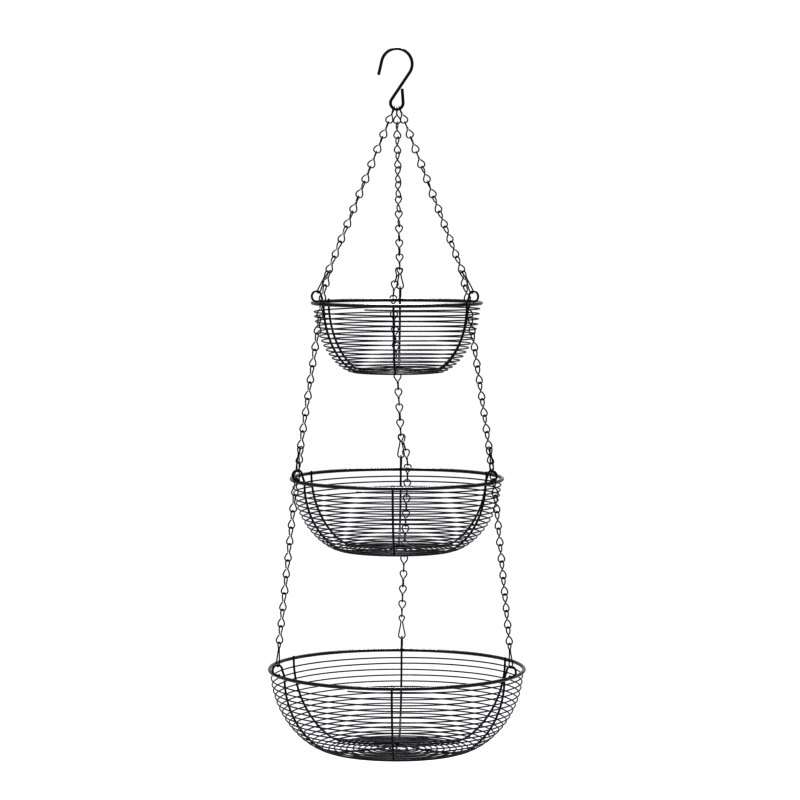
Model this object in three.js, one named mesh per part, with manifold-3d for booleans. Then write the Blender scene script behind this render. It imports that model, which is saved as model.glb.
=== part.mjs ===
// Three-tier hanging wire produce basket: an S-hook, three jack-chain strands, nine clips and three round
// wire baskets. Millimetres, +Z up, front towards -Y. The origin is the point that the hook hangs from, on
// the underside of its upper bend, on the axis of the baskets.
import * as THREE from "three";
import { mergeVertices } from "three/addons/utils/BufferGeometryUtils.js";
import Module from "manifold-3d";

const wasm = await Module();
wasm.setup();

// ---- driving dimensions -------------------------------------------------------------------------------
const GAP = 0.3; // clearance between neighbouring pieces
const DEG = Math.PI / 180;

const HOOK_WIRE = 3.6;
const HOOK = {
  topRadius: 19.2, // centre line of the upper bend
  lowRadius: 7.9, // centre line of the lower bend
  bendSpacing: 48.4, // between the two bend centres
  topSplay: 13, // degrees that the upper free leg leans outwards
  topLeg: 18.3,
  lowSplay: 4, // degrees that the lower free leg leans inwards
  lowLeg: 17.3,
};

const CHAIN_WIRE = 1.5;
const LINK_PITCH = 20.6;
const LINK_BITE = 0.6; // how far the wires of two links of one run sink into each other where they bear
const LINK_HALF_WIDTH = 5.6; // widens the loops: half their greatest width is about four fifths of this
const LINK_WAIST = 0.95; // from a link's axis to the centre line of its wire, at the waist
const LINK_ANGLES = [0, 30, 90, 150, 180, 210, 270, 330]; // degrees round the figure, from the upper bend
const HOOK_CLEARANCE = 0.55; // a link's bend is narrow, so on the hook's thick wire it seats a little higher

const CLIP_LENGTH = 32.5; // centre line, bend to bend
// Half outline of a clip's centre line, from its upper bend to its lower one: half width and drop.
const CLIP_HALF = [
  [0, 0],
  [2.4, 0.6],
  [3.5, 2.8],
  [1.15, 8.4],
  [2.5, 16.5],
  [4.2, 25.6],
  [4.0, 29.3],
  [2.3, CLIP_LENGTH - 0.8],
  [0, CLIP_LENGTH],
];
const SEAT_SHIFT = 1.9; // a clip and a strand share a link's bend side by side, this far from its middle

const RIM_WIRE = 4.5;
const RIB_WIRE = 2.5;
const SPIRAL_WIRE = 1.6;
const WALL_POWER = 1.25; // how full the curve of a basket's wall is: 1 is an ellipse
const WALL_ANGLES = [0, 15, 30, 42, 54, 66, 78, 90]; // degrees down the wall, where a rib has its bends
const PLAIN_END_RISE = 3.5; // plain rib ends above the rim's centre line
const EYE_RADIUS = 6.5; // centre line of an eye
const EYE_RISE = 10; // eye centre above the rim's centre line
const EYE_STEP = 25; // degrees
const EYE_END = -120; // degrees, where the eye's wire ends, close to the top of the rim
const EYE_LEAN = { inwards: 0.6, rise: 4 }; // bend over the rim, inwards from between the wires' centre lines
const CROSS_FLAT = 4; // half length of a rib's level stretch over the crossing of the ribs
const CROSS_RUN = 14; // where the lowest rib's neighbours start to climb to the crossing

const FIRST_ROW_DROP = 5.4; // first spiral row below the rim's centre line
const BASE_HOLE = 7; // radius where the spiral ends on the base
const SPIRAL_START = 250; // degrees
const WALL_STEP = 20; // degrees; the ribs' azimuths lie on these steps
const BASE_STEP = 40;
const OUTLINE_STEP = 2; // degrees of the wall's curve, for measuring along it

const TIERS = [
  {
    name: "top",
    rimDiameter: 216, // outside
    depth: 85, // from the rim's centre line to the ribs' base
    baseRadius: 55, // of the flat base
    rowPitch: 6.4, // of the spiral's rows
    junctionRadius: 96, // of the points where its clips hang
    links: 11, // in each strand from the tier above
    leadLinks: 1, // of those, the ones above the point where the strand swings free
  },
  {
    name: "middle",
    rimDiameter: 270,
    depth: 88,
    baseRadius: 70,
    rowPitch: 6.7,
    junctionRadius: 134.9,
    links: 11,
    leadLinks: 3,
  },
  {
    name: "bottom",
    rimDiameter: 326,
    depth: 100,
    baseRadius: 86,
    rowPitch: 7.7,
    junctionRadius: 164.6,
    links: 12,
    leadLinks: 3,
  },
];

// The three strands: azimuth of their eyes, place on the hook's lower bend, turn of their link on the hook,
// and the side they pass the eye of the top and of the middle basket on.
const STRANDS = [
  { name: "back", azimuth: 90, hookX: 0, hookTwist: 90, passSides: [1, -1] },
  { name: "left", azimuth: 210, hookX: -3.1, hookTwist: -30, passSides: [1, -1] },
  { name: "right", azimuth: 330, hookX: 3.1, hookTwist: 30, passSides: [-1, 1] },
];
const PASS_SHIFT = 9; // sideways shift of a strand where it passes the eye of a basket
const PASS_SLOPE = 2.5; // how far the strand moves outwards from the eye's top to the rim
const PASS_CLEARANCE = 1.9; // from the rim's outside to the centre of the strand

// ---- derived dimensions -------------------------------------------------------------------------------
const TOP_BEND_Z = HOOK_WIRE / 2 - HOOK.topRadius;
const LOW_BEND_Z = TOP_BEND_Z - HOOK.bendSpacing;
const HOOK_SEAT_Z = LOW_BEND_Z - HOOK.lowRadius; // centre of the wire that the strands hang on

const LINK_LENGTH = LINK_PITCH + CHAIN_WIRE - LINK_BITE; // centre line, bend to bend
const LINK_OVERHANG = (LINK_LENGTH - LINK_PITCH) / 2; // from a bearing point to the bend's centre line
const BEND_SHIFT = CHAIN_WIRE + 2.5 * GAP - LINK_OVERHANG; // from one run's last bend to the next run's start
const SPLIT_SHIFT = GAP + LINK_BITE; // two links in separate pieces bear this much closer than two in one
const STRAND_START_Z = HOOK_SEAT_Z + (HOOK_WIRE + CHAIN_WIRE) / 2 + HOOK_CLEARANCE - LINK_OVERHANG;

const CLIP_TOP_REACH = CHAIN_WIRE + 3.8 * GAP; // from the link's wire to the clip's upper bend
const CLIP_EYE_REACH = (CHAIN_WIRE + RIB_WIRE) / 2 + 1.5 * GAP; // from the eye's wire to the clip's lower bend
const CLIP_SPAN = CLIP_LENGTH - CLIP_TOP_REACH - CLIP_EYE_REACH;

const rimRadius = (tier) => (tier.rimDiameter - RIM_WIRE) / 2; // centre line
const ribRadius = (tier) => rimRadius(tier) - (RIM_WIRE + RIB_WIRE) / 2 - GAP;

// ---- materials ----------------------------------------------------------------------------------------
const paint = (color, roughness) => new THREE.MeshStandardMaterial({ color, roughness, metalness: 0.3 });
const RIM_PAINT = paint(0x17171c, 0.42);
const WIRE_PAINT = paint(0x141418, 0.48);
const CHAIN_PAINT = paint(0x101013, 0.4);
const HOOK_PAINT = paint(0x18181b, 0.35);

// ---- wire geometry ------------------------------------------------------------------------------------
// A curve that passes through given points, one for each step, so that a bend keeps the points it was given.
class PointPath extends THREE.Curve {
  constructor(points) {
    super();
    this.points = points;
  }
  getPoint(t, target = new THREE.Vector3()) {
    const place = t * (this.points.length - 1);
    const i = Math.min(Math.floor(place), this.points.length - 2);
    return target.lerpVectors(this.points[i], this.points[i + 1], place - i);
  }
  getPointAt(u, target) {
    return this.getPoint(u, target);
  }
  getTangentAt(u, target = new THREE.Vector3()) {
    const i = Math.round(u * (this.points.length - 1));
    const last = this.points[Math.max(i - 1, 0)];
    const next = this.points[Math.min(i + 1, this.points.length - 1)];
    return target.subVectors(next, last).normalize();
  }
}

// The same for a closed loop.
class LoopPath extends THREE.Curve {
  constructor(points) {
    super();
    this.points = points;
  }
  corner(i) {
    return this.points[(i + this.points.length) % this.points.length];
  }
  getPoint(t) {
    const place = t * this.points.length;
    const i = Math.floor(place);
    return this.corner(i).clone().lerp(this.corner(i + 1), place - i);
  }
  getPointAt(u) {
    return this.getPoint(u);
  }
  getTangentAt(u) {
    const i = Math.round(u * this.points.length);
    return this.corner(i + 1).clone().sub(this.corner(i - 1)).normalize();
  }
}

function openWire(points, diameter, sides) {
  const section = new THREE.Shape();
  for (let i = 0; i < sides; i++) {
    const angle = (2 * Math.PI * i) / sides;
    const [x, y] = [(Math.cos(angle) * diameter) / 2, (Math.sin(angle) * diameter) / 2];
    if (i) section.lineTo(x, y);
    else section.moveTo(x, y);
  }
  const options = { steps: points.length - 1, extrudePath: new PointPath(points), curveSegments: 1 };
  return new THREE.ExtrudeGeometry(section, options);
}

function closedWire(points, diameter, sides) {
  return new THREE.TubeGeometry(new LoopPath(points), points.length, diameter / 2, sides, true);
}

function solidOf(geometry) {
  const bare = new THREE.BufferGeometry();
  bare.setAttribute("position", geometry.getAttribute("position"));
  bare.setIndex(geometry.index);
  const merged = mergeVertices(bare, 1e-4);
  return new wasm.Manifold(
    new wasm.Mesh({
      numProp: 3,
      vertProperties: new Float32Array(merged.attributes.position.array),
      triVerts: new Uint32Array(merged.index.array),
    }),
  );
}

function geometryOf(solid) {
  const mesh = solid.getMesh();
  const geometry = new THREE.BufferGeometry();
  geometry.setAttribute("position", new THREE.BufferAttribute(new Float32Array(mesh.vertProperties), 3));
  geometry.setIndex(new THREE.BufferAttribute(new Uint32Array(mesh.triVerts), 1));
  geometry.computeVertexNormals();
  return geometry;
}

// A point given by radius, sideways shift and height in the upright plane of an azimuth.
function strandPoint(azimuth, radius, shift, z) {
  const [c, s] = [Math.cos(azimuth * DEG), Math.sin(azimuth * DEG)];
  return new THREE.Vector3(radius * c - shift * s, radius * s + shift * c, z);
}

// ---- hook ---------------------------------------------------------------------------------------------
function hookGeometry() {
  const lean = Math.asin((HOOK.topRadius + HOOK.lowRadius) / HOOK.bendSpacing) / DEG;
  const points = [];
  const put = (x, z) => points.push(new THREE.Vector3(x, 0, z));
  const arc = (centreZ, radius, from, to, steps) => {
    for (let i = 0; i <= steps; i++) {
      const angle = (from + ((to - from) * i) / steps) * DEG;
      put(radius * Math.cos(angle), centreZ + radius * Math.sin(angle));
    }
  };
  const legStart = (180 - HOOK.topSplay) * DEG;
  put(
    HOOK.topRadius * Math.cos(legStart) - HOOK.topLeg * Math.sin(HOOK.topSplay * DEG),
    TOP_BEND_Z + HOOK.topRadius * Math.sin(legStart) - HOOK.topLeg * Math.cos(HOOK.topSplay * DEG),
  );
  arc(TOP_BEND_Z, HOOK.topRadius, 180 - HOOK.topSplay, -lean, 16);
  arc(LOW_BEND_Z, HOOK.lowRadius, 180 - lean, 360 + HOOK.lowSplay, 14);
  const end = points.at(-1);
  put(
    end.x - HOOK.lowLeg * Math.sin(HOOK.lowSplay * DEG),
    end.z + HOOK.lowLeg * Math.cos(HOOK.lowSplay * DEG),
  );
  return openWire(points, HOOK_WIRE, 6);
}

// ---- chain --------------------------------------------------------------------------------------------
// One figure-of-eight link along +Z with its middle at the origin: the upper loop lies in the XZ plane and
// the lower loop in the YZ plane, and the wire turns from one to the other at the waist.
function linkPoint(degrees) {
  const angle = degrees * DEG;
  const height = Math.cos(angle);
  const side = Math.sin(angle) < 0 ? -1 : 1;
  const along = Math.acos(Math.abs(height));
  const width = LINK_WAIST * Math.sin(along) + (LINK_HALF_WIDTH - LINK_WAIST) * Math.sin(2 * along);
  const turn = Math.abs(height) < 1e-6 ? Math.PI / 4 : height > 0 ? 0 : Math.PI / 2;
  return new THREE.Vector3(
    side * width * Math.cos(turn),
    side * width * Math.sin(turn),
    (height * LINK_LENGTH) / 2,
  );
}

const LINK_GEOMETRY = closedWire(LINK_ANGLES.map(linkPoint), CHAIN_WIRE, 3);

// Places a link between two bearing points: its upper loop crosses the direction given by facing.
function placedLink(from, to, facing) {
  const up = from.clone().sub(to).normalize();
  const across = new THREE.Vector3().crossVectors(facing, up).normalize();
  const normal = new THREE.Vector3().crossVectors(up, across);
  const matrix = new THREE.Matrix4().makeBasis(across, normal, up);
  matrix.setPosition(from.clone().lerp(to, 0.5));
  return LINK_GEOMETRY.clone().applyMatrix4(matrix);
}

// Bearing points one pitch apart along a bent line, from a given distance along it.
function bearingPoints(corners, count, start = 0) {
  const lengths = corners.slice(1).map((corner, i) => corner.distanceTo(corners[i]));
  const points = [];
  for (let n = 0; n <= count; n++) {
    let left = start + n * LINK_PITCH;
    let leg = 0;
    while (leg < lengths.length - 1 && left > lengths[leg]) left -= lengths[leg++];
    points.push(corners[leg].clone().lerp(corners[leg + 1], left / lengths[leg]));
  }
  return points;
}

// A run of links, of which twistOf(i) gives how far link i is turned from facing outwards.
function chainRun(strand, points, twistOf) {
  const links = points.slice(1).map((to, i) => {
    const facing = strandPoint(strand.azimuth + twistOf(i), 1, 0, 0);
    return placedLink(points[i], to, facing);
  });
  const joined = links.map(solidOf).reduce((sum, link) => sum.add(link));
  // Where two wires bear, the join can seal a speck of air: the whole body without it is the largest one.
  const bodies = joined.decompose().sort((a, b) => b.volume() - a.volume());
  return geometryOf(bodies[0]);
}

// ---- clips --------------------------------------------------------------------------------------------
const CLIP_OUTLINE = [...CLIP_HALF, ...CLIP_HALF.slice(1, -1).reverse().map(([w, d]) => [-w, d])];
const CLIP_GEOMETRY = closedWire(
  CLIP_OUTLINE.map(([w, d]) => new THREE.Vector3(w, 0, -d)),
  CHAIN_WIRE,
  4,
);

function clipGeometry(strand, junction, eyeCentre) {
  const up = junction.clone().sub(eyeCentre).normalize();
  const across = strandPoint(strand.azimuth, 0, 1, 0);
  const normal = new THREE.Vector3().crossVectors(up, across);
  const matrix = new THREE.Matrix4().makeBasis(across, normal, up);
  matrix.setPosition(junction.clone().addScaledVector(up, CLIP_TOP_REACH));
  return CLIP_GEOMETRY.clone().applyMatrix4(matrix);
}

// ---- levels -------------------------------------------------------------------------------------------
// Centre line of a strand above the top basket: straight from the hook to the junction. The path ends at the
// bearing point of the last link, just above its lower bend.
function topCorners(strand, tier, junctionZ) {
  const hookRise = HOOK.lowRadius - Math.sqrt(HOOK.lowRadius ** 2 - strand.hookX ** 2);
  const start = new THREE.Vector3(strand.hookX, 0, STRAND_START_Z + hookRise);
  return [start, strandPoint(strand.azimuth, tier.junctionRadius, 0, junctionZ + LINK_OVERHANG)];
}

// Centre line of a strand below a junction: beside the eye and outside the rim of the basket it passes, then
// straight to the next junction.
function passCorners(strand, above, tier, junctionZ) {
  const shift = strand.passSides[TIERS.indexOf(above)] * PASS_SHIFT;
  const outside = rimRadius(above) + RIM_WIRE / 2 + PASS_CLEARANCE;
  return [
    strandPoint(strand.azimuth, above.junctionRadius - SEAT_SHIFT, 0, above.junctionZ + BEND_SHIFT),
    strandPoint(strand.azimuth, outside - PASS_SLOPE, shift, above.rimZ + EYE_RISE + EYE_RADIUS),
    strandPoint(strand.azimuth, outside, shift, above.rimZ),
    strandPoint(strand.azimuth, tier.junctionRadius, 0, junctionZ + LINK_OVERHANG),
  ];
}

function strandCorners(strand, tier, junctionZ = tier.junctionZ) {
  const above = TIERS[TIERS.indexOf(tier) - 1];
  return above ? passCorners(strand, above, tier, junctionZ) : topCorners(strand, tier, junctionZ);
}

// Each tier hangs as low as its strands reach: the junction's height follows from the chain's length, and
// the rim's height follows from the clip.
function layOutTiers() {
  let highest = STRAND_START_Z;
  for (const tier of TIERS) {
    const wanted = tier.links * LINK_PITCH - SPLIT_SHIFT;
    let [low, high] = [highest - 1.1 * wanted, highest];
    while (high - low > 1e-9) {
      const z = (low + high) / 2;
      const path = strandCorners(STRANDS[0], tier, z);
      const length = path.slice(1).reduce((sum, corner, i) => sum + corner.distanceTo(path[i]), 0);
      if (length > wanted) low = z;
      else high = z;
    }
    tier.junctionZ = (low + high) / 2;
    const across = rimRadius(tier) + EYE_RADIUS - tier.junctionRadius;
    tier.rimZ = tier.junctionZ - Math.sqrt((CLIP_SPAN + EYE_RADIUS) ** 2 - across ** 2) - EYE_RISE;
    highest = tier.junctionZ;
  }
}

layOutTiers();

// ---- baskets ------------------------------------------------------------------------------------------
// Upright outline of a basket's wall for a wire whose top is at wallRadius: angle 0 is the rim and 90 the
// edge of the flat base.
function wallPoint(tier, wallRadius, angle, out = 0) {
  const [c, s] = [Math.cos(angle * DEG), Math.sin(angle * DEG)];
  const radius = tier.baseRadius + (wallRadius - tier.baseRadius) * c ** WALL_POWER;
  return [radius + out * c, -tier.depth * s - out * s];
}

// A rib runs from its plain end, down the wall, across the base, up the far wall and round into its eye. The
// three ribs of a basket cross at the centre, each lifted over the one below.
function ribGeometry(tier, strand, order) {
  const top = ribRadius(tier);
  const wall = WALL_ANGLES.map((angle) => wallPoint(tier, top, angle));
  const crossZ = order * (RIB_WIRE + GAP) - tier.depth;
  const climb = CROSS_RUN * (order + 1);
  const eyeCentre = rimRadius(tier) + EYE_RADIUS;
  const outline = [
    [-top, PLAIN_END_RISE],
    ...wall.map(([r, z]) => [-r, z]),
    [-climb, -tier.depth],
    [-CROSS_FLAT, crossZ],
    [CROSS_FLAT, crossZ],
    [climb, -tier.depth],
    ...wall.toReversed(),
    [(top + rimRadius(tier)) / 2 - EYE_LEAN.inwards, EYE_LEAN.rise],
  ];
  for (let angle = 180; angle >= EYE_END; angle -= EYE_STEP) {
    const [c, s] = [Math.cos(angle * DEG), Math.sin(angle * DEG)];
    outline.push([eyeCentre + EYE_RADIUS * c, EYE_RISE + EYE_RADIUS * s]);
  }
  const points = outline.map(([r, z]) => strandPoint(strand.azimuth, r, 0, tier.rimZ + z));
  return openWire(points, RIB_WIRE, 4);
}

// The spiral wire winds round the outside of the ribs from just under the rim, then in over the base.
function spiralGeometry(tier) {
  const out = (RIB_WIRE + SPIRAL_WIRE) / 2 + GAP;
  const outline = [];
  for (let angle = OUTLINE_STEP; angle <= 90; angle += OUTLINE_STEP) {
    outline.push(wallPoint(tier, ribRadius(tier), angle, out));
  }
  outline.push([0, -tier.depth - out]);
  const runs = [0];
  for (let i = 1; i < outline.length; i++) {
    const [dr, dz] = [outline[i][0] - outline[i - 1][0], outline[i][1] - outline[i - 1][1]];
    runs.push(runs[i - 1] + Math.hypot(dr, dz));
  }
  const at = (run) => {
    const i = Math.min(runs.findIndex((r) => r > run) - 1, outline.length - 2);
    const part = (run - runs[i]) / (runs[i + 1] - runs[i]);
    return [0, 1].map((n) => outline[i][n] + (outline[i + 1][n] - outline[i][n]) * part);
  };
  const start = runs[outline.findIndex(([, z]) => z < -FIRST_ROW_DROP) - 1];
  const end = runs.at(-1) - BASE_HOLE;
  const lastWallRun = runs.at(-2) + tier.rowPitch;
  const points = [];
  let azimuth = SPIRAL_START;
  let run = start;
  while (run <= end) {
    const [r, z] = at(run);
    points.push(strandPoint(azimuth, r, 0, tier.rimZ + z));
    if (run < lastWallRun) azimuth += WALL_STEP;
    else azimuth = Math.round((azimuth + BASE_STEP) / BASE_STEP) * BASE_STEP;
    run = start + (tier.rowPitch * (azimuth - SPIRAL_START)) / 360;
  }
  return openWire(points, SPIRAL_WIRE, 3);
}

// ---- assembly -----------------------------------------------------------------------------------------
const basket = new THREE.Group();

function addPiece(name, geometry, material) {
  const mesh = new THREE.Mesh(geometry, material);
  mesh.name = name;
  basket.add(mesh);
  return mesh;
}

addPiece("s_hook", hookGeometry(), HOOK_PAINT);

for (const strand of STRANDS) {
  TIERS.forEach((tier, level) => {
    const corners = strandCorners(strand, tier);
    // The link on the hook faces along the hook's wire, and the links below turn to face outwards.
    const twistOf = (i) => (level ? 0 : strand.hookTwist * Math.max(0, 1 - i / (tier.links - 2)));
    const lead = bearingPoints(corners, tier.leadLinks);
    const leadName = level ? `${tier.name}_lead_chain` : "hook_link";
    addPiece(`${leadName}_${strand.name}`, chainRun(strand, lead, twistOf), CHAIN_PAINT);
    const free = bearingPoints(
      corners,
      tier.links - tier.leadLinks,
      tier.leadLinks * LINK_PITCH - SPLIT_SHIFT,
    );
    const freeTwistOf = (i) => twistOf(i + tier.leadLinks);
    addPiece(`${tier.name}_chain_${strand.name}`, chainRun(strand, free, freeTwistOf), CHAIN_PAINT);
    const seat = tier === TIERS.at(-1) ? 0 : SEAT_SHIFT;
    const junction = strandPoint(strand.azimuth, tier.junctionRadius + seat, 0, tier.junctionZ);
    const eyeCentre = strandPoint(strand.azimuth, rimRadius(tier) + EYE_RADIUS, 0, tier.rimZ + EYE_RISE);
    addPiece(`${tier.name}_clip_${strand.name}`, clipGeometry(strand, junction, eyeCentre), CHAIN_PAINT);
  });
}

for (const tier of TIERS) {
  const rim = new THREE.TorusGeometry(rimRadius(tier), RIM_WIRE / 2, 5, 36);
  addPiece(`${tier.name}_rim`, rim, RIM_PAINT).position.z = tier.rimZ;
  addPiece(`${tier.name}_spiral_wire`, spiralGeometry(tier), WIRE_PAINT);
  STRANDS.forEach((strand, order) => {
    addPiece(`${tier.name}_rib_${strand.name}`, ribGeometry(tier, strand, order), WIRE_PAINT);
  });
}

export default basket;
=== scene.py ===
"""Looks of the three-tier hanging wire basket: every wire made again as fine round geometry.

Millimetres in the maths, metres in the meshes. +Z up, front towards -Y, origin at the hanging point.
"""

import math
import random

import bpy
import numpy as np
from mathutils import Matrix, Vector


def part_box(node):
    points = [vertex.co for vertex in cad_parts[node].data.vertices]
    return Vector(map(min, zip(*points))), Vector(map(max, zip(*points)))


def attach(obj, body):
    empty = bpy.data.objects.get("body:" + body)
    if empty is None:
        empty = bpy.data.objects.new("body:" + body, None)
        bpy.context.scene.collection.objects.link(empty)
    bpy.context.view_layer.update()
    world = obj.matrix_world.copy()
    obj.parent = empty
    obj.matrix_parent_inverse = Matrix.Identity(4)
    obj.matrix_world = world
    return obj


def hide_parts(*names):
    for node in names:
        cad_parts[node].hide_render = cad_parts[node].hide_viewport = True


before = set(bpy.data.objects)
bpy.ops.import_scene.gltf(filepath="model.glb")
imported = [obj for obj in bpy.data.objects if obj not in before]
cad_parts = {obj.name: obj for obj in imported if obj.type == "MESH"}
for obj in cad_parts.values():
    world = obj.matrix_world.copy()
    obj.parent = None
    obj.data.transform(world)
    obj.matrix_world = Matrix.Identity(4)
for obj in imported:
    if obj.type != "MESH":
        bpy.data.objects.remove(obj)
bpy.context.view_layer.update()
random.seed(7)

MM = 0.001

# ---- camera -------------------------------------------------------------------------------------------
CAMERA_DISTANCE = 3.90
CAMERA_HEIGHT = -0.1746
CAMERA_TURN = math.radians(2.2)  # towards +X
CAMERA_TILT = math.radians(3.86)  # downwards
AXIS_OFFSET = 0.004  # how far the baskets' axis is left of the image's centre
LENS = 139.9

camera_data = bpy.data.cameras.new("camera")
camera_data.lens = LENS
camera_data.sensor_width = 36
camera = bpy.data.objects.new("camera", camera_data)
bpy.context.scene.collection.objects.link(camera)
bpy.context.scene.camera = camera
right = Vector((math.cos(CAMERA_TURN), math.sin(CAMERA_TURN), 0))
back = Vector((math.sin(CAMERA_TURN), -math.cos(CAMERA_TURN), 0))
camera.location = back * CAMERA_DISTANCE + right * AXIS_OFFSET + Vector((0, 0, CAMERA_HEIGHT))
camera.rotation_euler = (math.pi / 2 - CAMERA_TILT, 0, CAMERA_TURN)
camera_data.clip_end = 60

# ---- sizes, as in the CAD -----------------------------------------------------------------------------
HOOK_WIRE = 3.6
CHAIN_WIRE = 1.5
RIM_WIRE = 4.5
RIB_WIRE = 2.5
SPIRAL_WIRE = 1.6
EYE_RADIUS = 6.5
EYE_RISE = 10
PLAIN_END_RISE = 3.5
FIRST_ROW_DROP = 5.4
BASE_HOLE = 7
CLIP_SPAN = 27.41  # from the link's wire to the eye's wire
SEAT_SHIFT = 1.9  # a clip and a strand hang on a link's bend side by side, this far from its middle
PRESS = 0.25  # how far welded wires sink into each other
PASS_SHIFT = 9  # sideways from the eye, where a strand passes a rim
PASS_SLOPE = 2.5  # how much further in it is at the eye's height
PASS_CLEARANCE = 1.9  # from the rim to its middle

TIERS = [
    dict(name="top", rim=216, depth=85, base=55, row=6.4, junction=96, links=11, lead=1),
    dict(name="middle", rim=270, depth=88, base=70, row=6.7, junction=134.9, links=11, lead=3),
    dict(name="bottom", rim=326, depth=100, base=86, row=7.7, junction=164.6, links=12, lead=3),
]
STRANDS = [
    dict(name="back", azimuth=90, hook_x=0, twist=90, sides=(1, -1)),
    dict(name="left", azimuth=210, hook_x=-3.1, twist=-30, sides=(1, -1)),
    dict(name="right", azimuth=330, hook_x=3.1, twist=30, sides=(-1, 1)),
]
for tier in TIERS:
    low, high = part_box(tier["name"] + "_rim")
    tier["rim_z"] = (low.z + high.z) / 2 / MM
    tier["rim_r"] = (tier["rim"] - RIM_WIRE) / 2
    across = tier["rim_r"] + EYE_RADIUS - tier["junction"]
    drop = math.sqrt((CLIP_SPAN + EYE_RADIUS) ** 2 - across**2) + EYE_RISE
    tier["junction_z"] = tier["rim_z"] + drop

BODY_OF_TIER = {"top": "top_tier", "middle": "middle_basket", "bottom": "bottom_basket"}


# ---- wires --------------------------------------------------------------------------------------------
def around(azimuth, radius, shift, z):
    """A point given by radius, sideways shift and height in the upright plane of an azimuth."""
    c, s = math.cos(math.radians(azimuth)), math.sin(math.radians(azimuth))
    return np.array([radius * c - shift * s, radius * s + shift * c, z])


def unit(v):
    return v / np.linalg.norm(v)


def smooth(points, steps, closed=False):
    """A curve through the points, with that many steps between neighbours."""
    p = np.asarray(points, float)
    n = len(p)
    if closed:
        before, after, second = np.roll(p, 1, 0), np.roll(p, -1, 0), np.roll(p, -2, 0)
        spans = range(n)
    else:
        full = np.vstack([2 * p[0] - p[1], p, 2 * p[-1] - p[-2]])
        before, p, after, second = full[:-3], full[1:-2], full[2:-1], full[3:]
        spans = range(n - 1)
    out = []
    for i in spans:
        for k in range(steps):
            t = k / steps
            a = 2 * p[i]
            b = (after[i] - before[i]) * t
            c = (2 * before[i] - 5 * p[i] + 4 * after[i] - second[i]) * t * t
            d = (3 * p[i] - before[i] - 3 * after[i] + second[i]) * t**3
            out.append((a + b + c + d) / 2)
    if not closed:
        out.append(np.asarray(points[-1], float))
    return np.array(out)


ANY_DIRECTION = [0.31, 0.52, 0.79]  # along no wire's start, so that it can be turned into a normal
SHARP_ANGLE = math.radians(50)


class Wires:
    """Collects round wires and lumps into one mesh."""

    def __init__(self):
        self.verts, self.faces, self.count = [], [], 0

    def _add(self, verts, faces):
        self.verts.append(verts)
        self.faces += [[self.count + i for i in face] for face in faces]
        self.count += len(verts)

    def wire(self, path, diameter, sides=10, closed=False, bevel=0.16):
        """A round wire along the path. Open ends are cut square with a small bevel."""
        p = np.asarray(path, float)
        if closed:
            tangent = np.roll(p, -1, 0) - np.roll(p, 1, 0)
        else:
            tangent = np.gradient(p, axis=0)
        tangent /= np.linalg.norm(tangent, axis=1)[:, None]
        n = len(p)
        normal = np.zeros((n, 3))
        normal[0] = unit(np.cross(tangent[0], ANY_DIRECTION))
        for i in range(1, n):
            normal[i] = unit(normal[i - 1] - tangent[i] * np.dot(normal[i - 1], tangent[i]))
        if closed:
            v = unit(normal[-1] - tangent[0] * np.dot(normal[-1], tangent[0]))
            error = math.atan2(np.dot(np.cross(normal[0], v), tangent[0]), np.dot(normal[0], v))
            turn = -error * np.arange(n) / n
            c, s = np.cos(turn)[:, None], np.sin(turn)[:, None]
            normal = normal * c + np.cross(tangent, normal) * s
        other = np.cross(tangent, normal)
        radius = np.full(n, diameter / 2)
        if not closed:
            cut = bevel * diameter
            p = np.vstack([p[:1], p[:1] + tangent[:1] * cut, p[1:-1], p[-1:] - tangent[-1:] * cut, p[-1:]])
            pick = [0, 0, *range(1, n - 1), n - 1, n - 1]
            normal, other = normal[pick], other[pick]
            radius = radius[pick]
            radius[[0, -1]] -= cut
            n += 2
        angle = 2 * np.pi * np.arange(sides) / sides
        ring = np.cos(angle)[None, :, None] * normal[:, None] + np.sin(angle)[None, :, None] * other[:, None]
        verts = (p[:, None] + ring * radius[:, None, None]).reshape(-1, 3)
        faces = []
        for i in range(n if closed else n - 1):
            a, b = i * sides, (i + 1) % n * sides
            for k in range(sides):
                m = (k + 1) % sides
                faces.append([a + k, a + m, b + m, b + k])
        if not closed:
            faces.append(list(range(sides))[::-1])
            faces.append([(n - 1) * sides + k for k in range(sides)])
        self._add(verts, faces)

    def lump(self, centre, axes, sizes, rings=6, sides=8):
        """A smooth bead of fused metal and paint: an ellipsoid with these axes and half sizes."""
        verts = [[0, 0, 1]]
        for i in range(1, rings):
            polar = math.pi * i / rings
            for k in range(sides):
                turn = 2 * math.pi * k / sides
                across = math.sin(polar)
                verts.append([across * math.cos(turn), across * math.sin(turn), math.cos(polar)])
        verts.append([0, 0, -1])
        faces = [[0, 1 + k, 1 + (k + 1) % sides] for k in range(sides)]
        for i in range(rings - 2):
            a, b = 1 + i * sides, 1 + (i + 1) * sides
            for k in range(sides):
                m = (k + 1) % sides
                faces.append([a + k, b + k, b + m, a + m])
        last = len(verts) - 1
        start = last - sides
        faces += [[last, start + (k + 1) % sides, start + k] for k in range(sides)]
        basis = np.array([unit(np.asarray(a, float)) * s for a, s in zip(axes, sizes)])
        self._add(np.array(verts) @ basis + centre, faces)

    def build(self, name, material, slot, body, *nodes):
        mesh = bpy.data.meshes.new(name)
        mesh.from_pydata((np.vstack(self.verts) * MM).tolist(), [], self.faces)
        mesh.validate()
        mesh.polygons.foreach_set("use_smooth", [True] * len(mesh.polygons))
        mesh.set_sharp_from_angle(angle=SHARP_ANGLE)
        mesh.materials.append(material)
        piece = bpy.data.objects.new(name, mesh)
        bpy.context.scene.collection.objects.link(piece)
        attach(piece, body)
        if nodes:
            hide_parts(*nodes)
        return piece


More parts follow.
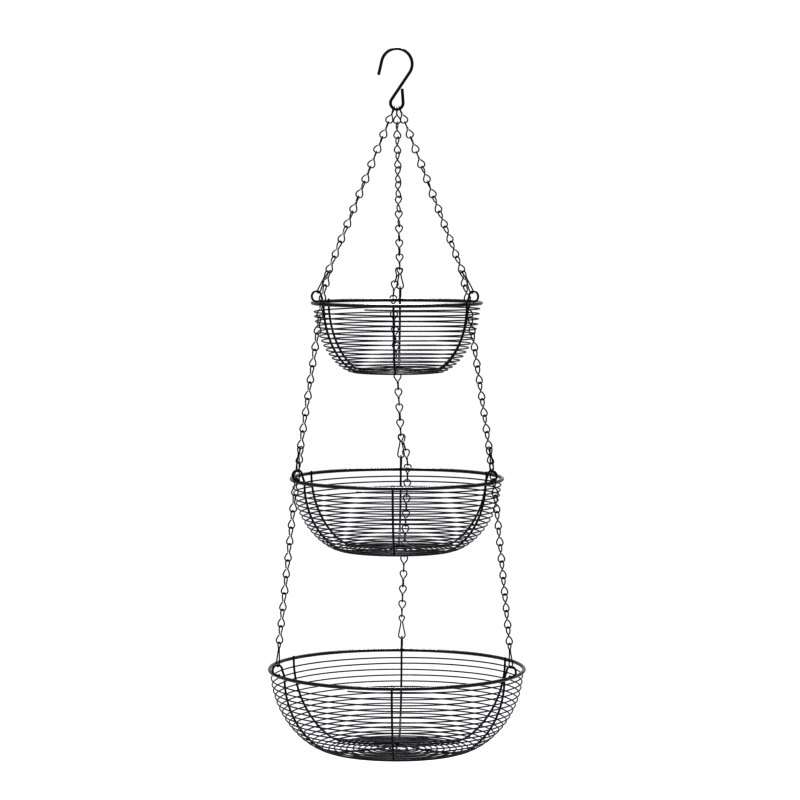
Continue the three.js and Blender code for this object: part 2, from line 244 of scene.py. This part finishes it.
# ---- materials ----------------------------------------------------------------------------------------
BLOTCH_SCALE, GRAIN_SCALE = 90, 420  # repeats a metre
THIN, THICK = 1.45, 0.72  # how much paler and darker the paint is where it is thin and thick
PAINT_TINT = (0.9, 0.85, 1.0, 1)


def coated_metal(name, colour, roughness, specular, peel, peel_size):
    """Black coated metal: uneven gloss, a fine orange-peel surface and slightly thin, paler spots.

    The peel is its strength, and its size in millimetres.
    """
    material = bpy.data.materials.new(name)
    material.use_nodes = True
    nodes, links = material.node_tree.nodes, material.node_tree.links
    shader = nodes["Principled BSDF"]
    place = nodes.new("ShaderNodeTexCoord")
    blotch = nodes.new("ShaderNodeTexNoise")
    blotch.inputs["Scale"].default_value = BLOTCH_SCALE
    blotch.inputs["Detail"].default_value = 4
    links.new(place.outputs["Object"], blotch.inputs["Vector"])
    tone = nodes.new("ShaderNodeValToRGB")
    tone.color_ramp.elements[0].position = 0.35
    tone.color_ramp.elements[0].color = (*[THICK * c for c in colour], 1)
    tone.color_ramp.elements[1].position = 0.75
    tone.color_ramp.elements[1].color = (*[THIN * c for c in colour], 1)
    links.new(blotch.outputs["Fac"], tone.inputs["Fac"])
    links.new(tone.outputs["Color"], shader.inputs["Base Color"])
    grain = nodes.new("ShaderNodeTexNoise")
    grain.inputs["Scale"].default_value = GRAIN_SCALE
    grain.inputs["Detail"].default_value = 3
    links.new(place.outputs["Object"], grain.inputs["Vector"])
    gloss = nodes.new("ShaderNodeMapRange")
    gloss.inputs["From Min"].default_value = 0.3
    gloss.inputs["From Max"].default_value = 0.7
    gloss.inputs["To Min"].default_value = roughness - 0.07
    gloss.inputs["To Max"].default_value = roughness + 0.1
    links.new(grain.outputs["Fac"], gloss.inputs["Value"])
    links.new(gloss.outputs["Result"], shader.inputs["Roughness"])
    skin = nodes.new("ShaderNodeTexNoise")
    skin.inputs["Scale"].default_value = 1000 / peel_size
    skin.inputs["Detail"].default_value = 2
    links.new(place.outputs["Object"], skin.inputs["Vector"])
    bump = nodes.new("ShaderNodeBump")
    bump.inputs["Strength"].default_value = peel
    bump.inputs["Distance"].default_value = 0.0001
    links.new(skin.outputs["Fac"], bump.inputs["Height"])
    links.new(bump.outputs["Normal"], shader.inputs["Normal"])
    shader.inputs["Specular IOR Level"].default_value = specular
    shader.inputs["Specular Tint"].default_value = PAINT_TINT
    return material


RIM_PAINT = coated_metal("rim_powder_coat", (0.004, 0.004, 0.0055), 0.3, 0.2, 0.5, 0.9)
WIRE_PAINT = coated_metal("wire_powder_coat", (0.0035, 0.0035, 0.0045), 0.36, 0.07, 0.4, 0.6)
CHAIN_PAINT = coated_metal("chain_enamel", (0.003, 0.003, 0.0035), 0.34, 0.06, 0.3, 0.5)
HOOK_PAINT = coated_metal("hook_enamel", (0.004, 0.004, 0.005), 0.3, 0.15, 0.35, 0.9)

# ---- hook ---------------------------------------------------------------------------------------------
TOP_BEND_RADIUS = 19.2
LOW_BEND_RADIUS = 7.9
BEND_SPACING = 48.4
TOP_SPLAY, TOP_LEG = 13, 18.3
LOW_SPLAY, LOW_LEG = 4, 17.3
TOP_BEND_Z = HOOK_WIRE / 2 - TOP_BEND_RADIUS
LOW_BEND_Z = TOP_BEND_Z - BEND_SPACING
HOOK_SEAT_Z = LOW_BEND_Z - LOW_BEND_RADIUS


def hook_path():
    lean = math.degrees(math.asin((TOP_BEND_RADIUS + LOW_BEND_RADIUS) / BEND_SPACING))
    path = []

    def arc(centre_z, radius, start, end, steps):
        for angle in np.radians(np.linspace(start, end, steps)):
            path.append([radius * math.cos(angle), 0, centre_z + radius * math.sin(angle)])

    def leg(x, z, dx, dz):
        return [[x + dx * k / 4, 0, z + dz * k / 4] for k in range(1, 5)]

    arc(TOP_BEND_Z, TOP_BEND_RADIUS, 180 - TOP_SPLAY, -lean, 40)
    splay = math.radians(TOP_SPLAY)
    head = leg(path[0][0], path[0][2], -TOP_LEG * math.sin(splay), -TOP_LEG * math.cos(splay))
    arc(LOW_BEND_Z, LOW_BEND_RADIUS, 180 - lean, 360 + LOW_SPLAY, 32)
    splay = math.radians(LOW_SPLAY)
    tail = leg(path[-1][0], path[-1][2], -LOW_LEG * math.sin(splay), LOW_LEG * math.cos(splay))
    return np.array(head[::-1] + path + tail)


hook = Wires()
hook.wire(hook_path(), HOOK_WIRE, sides=20, bevel=0.12)
hook.build("s_hook_wire", HOOK_PAINT, "hook_paint", "hook", "s_hook")

# ---- chain --------------------------------------------------------------------------------------------
TOUCH = CHAIN_WIRE / 2 - 0.02  # from a bearing point to the centre line of each link's bend there
LINK_WOBBLE = 7  # degrees
WAIST = 0.95  # from a link's axis to its wire, at the waist
# Half of a link's upper loop, from its bend down to the waist: half width and height, as shares.
LINK_QUARTER = [
    (0, 1), (0.19, 0.98), (0.345, 0.895), (0.425, 0.755), (0.44, 0.615), (0.375, 0.43), (0.235, 0.215),
]
LINK_LOOP = 10  # what a width of 1 stands for
LINK_TWIST = 0.32  # share of the half height, either side of the waist, that turns the loops a right angle


def link_points():
    """The wire of one figure-of-eight link, from one end at the waist to the other: side and height share."""
    upper = [(w * LINK_LOOP, h) for w, h in LINK_QUARTER]
    lap = [(WAIST * 0.95, 0.05), *upper[::-1], *[(-w, h) for w, h in upper[1:]]]
    through = (-WAIST, 0.0)
    lower = [(w, -h) for w, h in lap[::-1]]
    return [*lap, through, *[(w, h) for w, h in lower]]


LINK_POINTS = smooth([(w, h * 10, 0) for w, h in link_points()], 4)


def link(wires, top, bottom, facing, tilt):
    """A link between two bearing points. The upper loop crosses the way it faces, the lower runs along it."""
    up = unit(top - bottom)
    across = unit(np.cross(facing, up))
    outward = np.cross(up, across)
    half = np.linalg.norm(top - bottom) / 2 + TOUCH
    centre = (top + bottom) / 2
    path = []
    for side, height, _ in LINK_POINTS:
        share = height / 10
        blend = min(max((share / LINK_TWIST + 1) / 2, 0), 1)
        blend = blend * blend * (3 - 2 * blend)
        turn = math.radians(90 * (1 - blend) + tilt)
        direction = across * math.cos(turn) + outward * math.sin(turn)
        path.append(centre + up * share * half + direction * side)
    wires.wire(path, CHAIN_WIRE, sides=10, bevel=0.14)


def bearing_points(corners, links):
    corners = [np.asarray(c, float) for c in corners]
    lengths = [np.linalg.norm(b - a) for a, b in zip(corners, corners[1:])]
    pitch = sum(lengths) / links
    points = []
    for n in range(links + 1):
        left, leg = n * pitch, 0
        while leg < len(lengths) - 1 and left > lengths[leg]:
            left -= lengths[leg]
            leg += 1
        points.append(corners[leg] + (corners[leg + 1] - corners[leg]) * min(left / lengths[leg], 1))
    return points


def strand_corners(strand, above, tier):
    azimuth = strand["azimuth"]
    end = around(azimuth, tier["junction"], 0, tier["junction_z"] + CHAIN_WIRE * 0.3)
    if above is None:
        x = strand["hook_x"]
        rise = LOW_BEND_RADIUS - math.sqrt(LOW_BEND_RADIUS**2 - x * x)
        start = np.array([x, 0, HOOK_SEAT_Z + rise + (HOOK_WIRE + CHAIN_WIRE) / 2 - TOUCH])
        return [start, end]
    outside = above["rim_r"] + RIM_WIRE / 2 + PASS_CLEARANCE
    shift = strand["sides"][TIERS.index(above)] * PASS_SHIFT
    return [
        around(azimuth, above["junction"] - SEAT_SHIFT, 0, above["junction_z"] + 0.9),
        around(azimuth, outside - PASS_SLOPE, shift, above["rim_z"] + EYE_RISE + EYE_RADIUS),
        around(azimuth, outside, shift, above["rim_z"]),
        end,
    ]


for level, tier in enumerate(TIERS):
    above = TIERS[level - 1] if level else None
    for strand in STRANDS:
        points = bearing_points(strand_corners(strand, above, tier), tier["links"])
        lead, free = Wires(), Wires()
        for i in range(tier["links"]):
            twist = 0 if level else strand["twist"] * max(0, 1 - i / (tier["links"] - 2))
            facing = around(strand["azimuth"] + twist, 1, 0, 0)
            held = i < tier["lead"] or i == tier["links"] - 1
            wobble = 0 if held else random.uniform(-LINK_WOBBLE, LINK_WOBBLE)
            link(lead if i < tier["lead"] else free, points[i], points[i + 1], facing, wobble)
        name = strand["name"]
        if level:
            lead_node = f"{tier['name']}_lead_chain_{name}"
            lead_body = BODY_OF_TIER[above["name"]]
            free_body = f"{tier['name']}_strand_{name}"
        else:
            lead_node, lead_body, free_body = f"hook_link_{name}", "top_tier", "top_tier"
        free_node = f"{tier['name']}_chain_{name}"
        lead.build(f"{lead_node}_links", CHAIN_PAINT, "chain_paint", lead_body, lead_node)
        free.build(f"{free_node}_links", CHAIN_PAINT, "chain_paint", free_body, free_node)

# ---- clips --------------------------------------------------------------------------------------------
# Half outline of a clip, from its upper bend to its lower one: half width and drop.
CLIP_HALF = [
    (0, 0), (1.8, 0.25), (3.2, 1.5), (3.45, 3.3), (2.6, 5.7), (1.35, 8.0), (1.15, 9.6),
    (1.6, 13.0), (2.4, 17.5), (3.4, 22.5), (4.1, 26.6), (4.25, 28.6), (3.5, 30.6), (1.9, 32.1), (0, 32.5),
]
CLIP_LENGTH = 32.5


def clip(wires, strand, tier, seat):
    lift = 0.15 if seat else -0.3
    junction = around(strand["azimuth"], tier["junction"] + seat, 0, tier["junction_z"] + lift)
    eye = around(strand["azimuth"], tier["rim_r"] + EYE_RADIUS, 0, tier["rim_z"] + EYE_RISE)
    up = unit(junction - eye)
    across = around(strand["azimuth"], 0, 1, 0)
    top = junction + up * CHAIN_WIRE
    low = eye + up * (EYE_RADIUS - (CHAIN_WIRE + RIB_WIRE) / 2)
    scale = np.linalg.norm(top - low) / CLIP_LENGTH
    left_leg = [(-w, d) for w, d in CLIP_HALF[1:-1]][::-1]
    outline = smooth([(w, d, 0) for w, d in CLIP_HALF + left_leg], 4, closed=True)
    path = [top + across * w - up * d * scale for w, d, _ in outline]
    wires.wire(path, CHAIN_WIRE, sides=10, closed=True)


for level, tier in enumerate(TIERS):
    for strand in STRANDS:
        wires = Wires()
        clip(wires, strand, tier, SEAT_SHIFT if level < 2 else 0)
        node = f"{tier['name']}_clip_{strand['name']}"
        wires.build(f"{node}_wire", CHAIN_PAINT, "chain_paint", BODY_OF_TIER[tier["name"]], node)

# ---- baskets ------------------------------------------------------------------------------------------
WALL_POWER = 1.25
CROSS_FLAT = 4  # half length of a rib's level stretch over the crossing of the ribs
CROSS_RUN = 14  # where the lowest rib's neighbours start to climb to the crossing
CROSS_LIFT = RIB_WIRE - PRESS
SPIRAL_START = 250  # degrees
SPIRAL_STEP = 4
ROW_WELD, ROW_WELD_DEPTH = [1.25, 1.25, 0.75], 0.6  # half sizes of the weld beads
RIM_WELD = [1.9, 1.9, 1.2]
CROSS_WELD = [1.7, 1.7, 1.1]


def wall_point(tier, wall_radius, angle, out=0):
    c, s = math.cos(math.radians(angle)), math.sin(math.radians(angle))
    radius = tier["base"] + (wall_radius - tier["base"]) * max(c, 0) ** WALL_POWER
    return [radius + out * c, -tier["depth"] * s - out * s]


def rib_path(tier, strand, order):
    top = tier["rim_r"] - (RIM_WIRE + RIB_WIRE) / 2 + PRESS
    wall = [wall_point(tier, top, angle) for angle in range(0, 91, 5)]
    lift = order * CROSS_LIFT
    run = CROSS_RUN * (order + 1)
    floor = -tier["depth"]
    outline = [[-top, PLAIN_END_RISE], [-top, PLAIN_END_RISE / 2]]
    outline += [[-r, z] for r, z in wall]
    inner = [[-run, floor], [-(run + CROSS_FLAT) / 2, floor + lift / 2], [-CROSS_FLAT, floor + lift]]
    if order == 0:
        inner = [[-30, floor], [-10, floor]]
    outline += inner + [[-x, z] for x, z in inner[::-1]]
    outline += [[r, z] for r, z in wall[::-1]]
    centre = tier["rim_r"] + EYE_RADIUS
    outline.append([(top + tier["rim_r"]) / 2 - 0.6, EYE_RISE * 0.4])
    for angle in np.radians(np.arange(180, -121, -15)):
        outline.append([centre + EYE_RADIUS * math.cos(angle), EYE_RISE + EYE_RADIUS * math.sin(angle)])
    curve = smooth([(r, z, 0) for r, z in outline], 4)
    return [around(strand["azimuth"], r, 0, tier["rim_z"] + z) for r, z, _ in curve]


def spiral_path(tier):
    """The spiral wire's points, each with its azimuth and the direction from it towards the ribs."""
    top = tier["rim_r"] - (RIM_WIRE + RIB_WIRE) / 2 + PRESS
    out = (RIB_WIRE + SPIRAL_WIRE) / 2 - PRESS
    outline = [wall_point(tier, top, angle, out) for angle in range(2, 91)] + [[0, -tier["depth"] - out]]
    outline = np.array(outline)
    steps = np.linalg.norm(np.diff(outline, axis=0), axis=1)
    runs = np.concatenate([[0], np.cumsum(steps)])
    start = np.interp(FIRST_ROW_DROP, -outline[:, 1], runs)
    waves = []
    for _ in range(6):
        waves.append((random.uniform(0.4, 3.3), random.uniform(0, 6.28), random.uniform(0.05, 0.16)))
    path, azimuth = [], SPIRAL_START
    while True:
        turn = math.radians(azimuth)
        sway = sum(size * math.sin(rate * turn + phase) for rate, phase, size in waves)
        run = start + tier["row"] * (azimuth - SPIRAL_START) / 360 + sway
        if run > runs[-1] - BASE_HOLE:
            break
        r, z = np.interp(run, runs, outline[:, 0]), np.interp(run, runs, outline[:, 1])
        r2, z2 = np.interp(run + 1, runs, outline[:, 0]), np.interp(run + 1, runs, outline[:, 1])
        inward = unit(np.array([z2 - z, r - r2]))
        direction = around(azimuth, inward[0], 0, inward[1])
        path.append((around(azimuth, r, 0, tier["rim_z"] + z), azimuth, direction))
        azimuth += SPIRAL_STEP if r > 30 else 2 * SPIRAL_STEP
    return path


for tier in TIERS:
    body = BODY_OF_TIER[tier["name"]]
    rim = Wires()
    ring = [around(a, tier["rim_r"], 0, tier["rim_z"]) for a in np.arange(0, 360, 3)]
    rim.wire(ring, RIM_WIRE, sides=16, closed=True)
    rim.build(f"{tier['name']}_rim_ring", RIM_PAINT, "rim_paint", body, f"{tier['name']}_rim")
    for order, strand in enumerate(STRANDS):
        rib = Wires()
        rib.wire(rib_path(tier, strand, order), RIB_WIRE, sides=12, bevel=0.14)
        node = f"{tier['name']}_rib_{strand['name']}"
        rib.build(f"{node}_wire", WIRE_PAINT, "basket_wire_paint", body, node)
    spiral = Wires()
    path = spiral_path(tier)
    spiral.wire([p for p, _, _ in path], SPIRAL_WIRE, sides=8, bevel=0.12)
    node = f"{tier['name']}_spiral_wire"
    spiral.build(f"{node}_round", WIRE_PAINT, "basket_wire_paint", body, node)

    welds = Wires()
    points = np.array([p for p, _, _ in path])
    for i in range(1, len(path) - 1):
        azimuth = path[i][1]
        nearest = round((azimuth - 30) / 60) * 60 + 30
        if not azimuth - SPIRAL_STEP / 2 <= nearest < azimuth + SPIRAL_STEP / 2:
            continue
        point, inward = points[i], path[i][2]
        share = (nearest - azimuth) / SPIRAL_STEP
        ahead = points[i + 1] - points[i]
        point = point + ahead * share
        along = unit(ahead)
        rib_way = np.cross(along, inward)
        welds.lump(point + inward * ROW_WELD_DEPTH, [along, rib_way, inward], ROW_WELD)
    for azimuth in range(30, 390, 60):
        outward = around(azimuth, 1, 0, 0)
        middle = around(azimuth, tier["rim_r"] - RIM_WIRE / 2, 0, tier["rim_z"])
        welds.lump(middle, [np.cross(outward, [0, 0, 1]), [0, 0, 1], outward], RIM_WELD)
    for k in range(2):
        middle = np.array([0, 0, tier["rim_z"] - tier["depth"] + (k + 0.5) * CROSS_LIFT])
        welds.lump(middle, [[1, 0, 0], [0, 1, 0], [0, 0, 1]], CROSS_WELD)
    welds.build(f"{tier['name']}_welds", WIRE_PAINT, "basket_wire_paint", body)


# ---- studio -------------------------------------------------------------------------------------------
def studio():
    """A pale round room: floor, rounded corner and wall in one surface, all round the object."""
    room, corner, floor_z, top_z = 9.0, 2.0, -1.35, 7.0
    profile = [(0, floor_z), (room - corner, floor_z)]
    for angle in np.radians(np.linspace(-90, 0, 13))[1:]:
        r, z = corner * math.cos(angle), corner * math.sin(angle)
        profile.append((room - corner + r, floor_z + corner + z))
    profile.append((room, top_z))
    sides = 96
    verts = [(0, 0, floor_z)]
    for r, z in profile[1:]:
        for k in range(sides):
            turn = 2 * math.pi * k / sides
            verts.append((r * math.cos(turn), r * math.sin(turn), z))
    faces = [(0, 1 + k, 1 + (k + 1) % sides) for k in range(sides)]
    for i in range(len(profile) - 2):
        a, b = 1 + i * sides, 1 + (i + 1) * sides
        for k in range(sides):
            m = (k + 1) % sides
            faces.append((a + k, b + k, b + m, a + m))
    mesh = bpy.data.meshes.new("studio_room")
    mesh.from_pydata(verts, [], faces)
    mesh.polygons.foreach_set("use_smooth", [True] * len(mesh.polygons))
    material = bpy.data.materials.new("pale_room")
    material.use_nodes = True
    shader = material.node_tree.nodes["Principled BSDF"]
    shader.inputs["Base Color"].default_value = (0.3, 0.3, 0.3, 1)
    shader.inputs["Roughness"].default_value = 0.9
    shader.inputs["Specular IOR Level"].default_value = 0.1
    shader.inputs["Emission Color"].default_value = (1, 1, 1, 1)
    shader.inputs["Emission Strength"].default_value = 0.7
    mesh.materials.append(material)
    room_object = bpy.data.objects.new("studio_room", mesh)
    bpy.context.scene.collection.objects.link(room_object)


def area_light(name, place, target, size, power, colour, spread=180):
    data = bpy.data.lights.new(name, "AREA")
    data.shape = "RECTANGLE"
    data.size, data.size_y = size
    data.energy = power
    data.color = colour
    data.spread = math.radians(spread)
    lamp = bpy.data.objects.new(name, data)
    lamp.location = place
    lamp.rotation_euler = (Vector(target) - Vector(place)).to_track_quat("-Z", "Y").to_euler()
    bpy.context.scene.collection.objects.link(lamp)


studio()
MIDDLE = (0, 0, -0.45)
area_light("key", (-2.4, -2.6, 1.6), MIDDLE, (1.2, 1.2), 60, (1.0, 0.99, 0.98))
area_light("fill", (3.0, -2.2, 0.4), MIDDLE, (1.4, 1.6), 25, (0.95, 0.96, 1.0))
area_light("top", (0, 0.7, 2.3), MIDDLE, (1.6, 1.6), 300, (1, 1, 1), spread=75)
area_light("rear", (0.5, 3.4, 1.4), MIDDLE, (2.0, 1.4), 25, (0.97, 0.98, 1.0))

view = bpy.context.scene.view_settings
view.view_transform = "Standard"
view.gamma = 0.65  # contrasty, as a product shot on white is printed
world = bpy.data.worlds.new("studio_world")
bpy.context.scene.world = world
world.use_nodes = True
world.node_tree.nodes["Background"].inputs["Color"].default_value = (0.95, 0.96, 1.0, 1)
world.node_tree.nodes["Background"].inputs["Strength"].default_value = 1.0
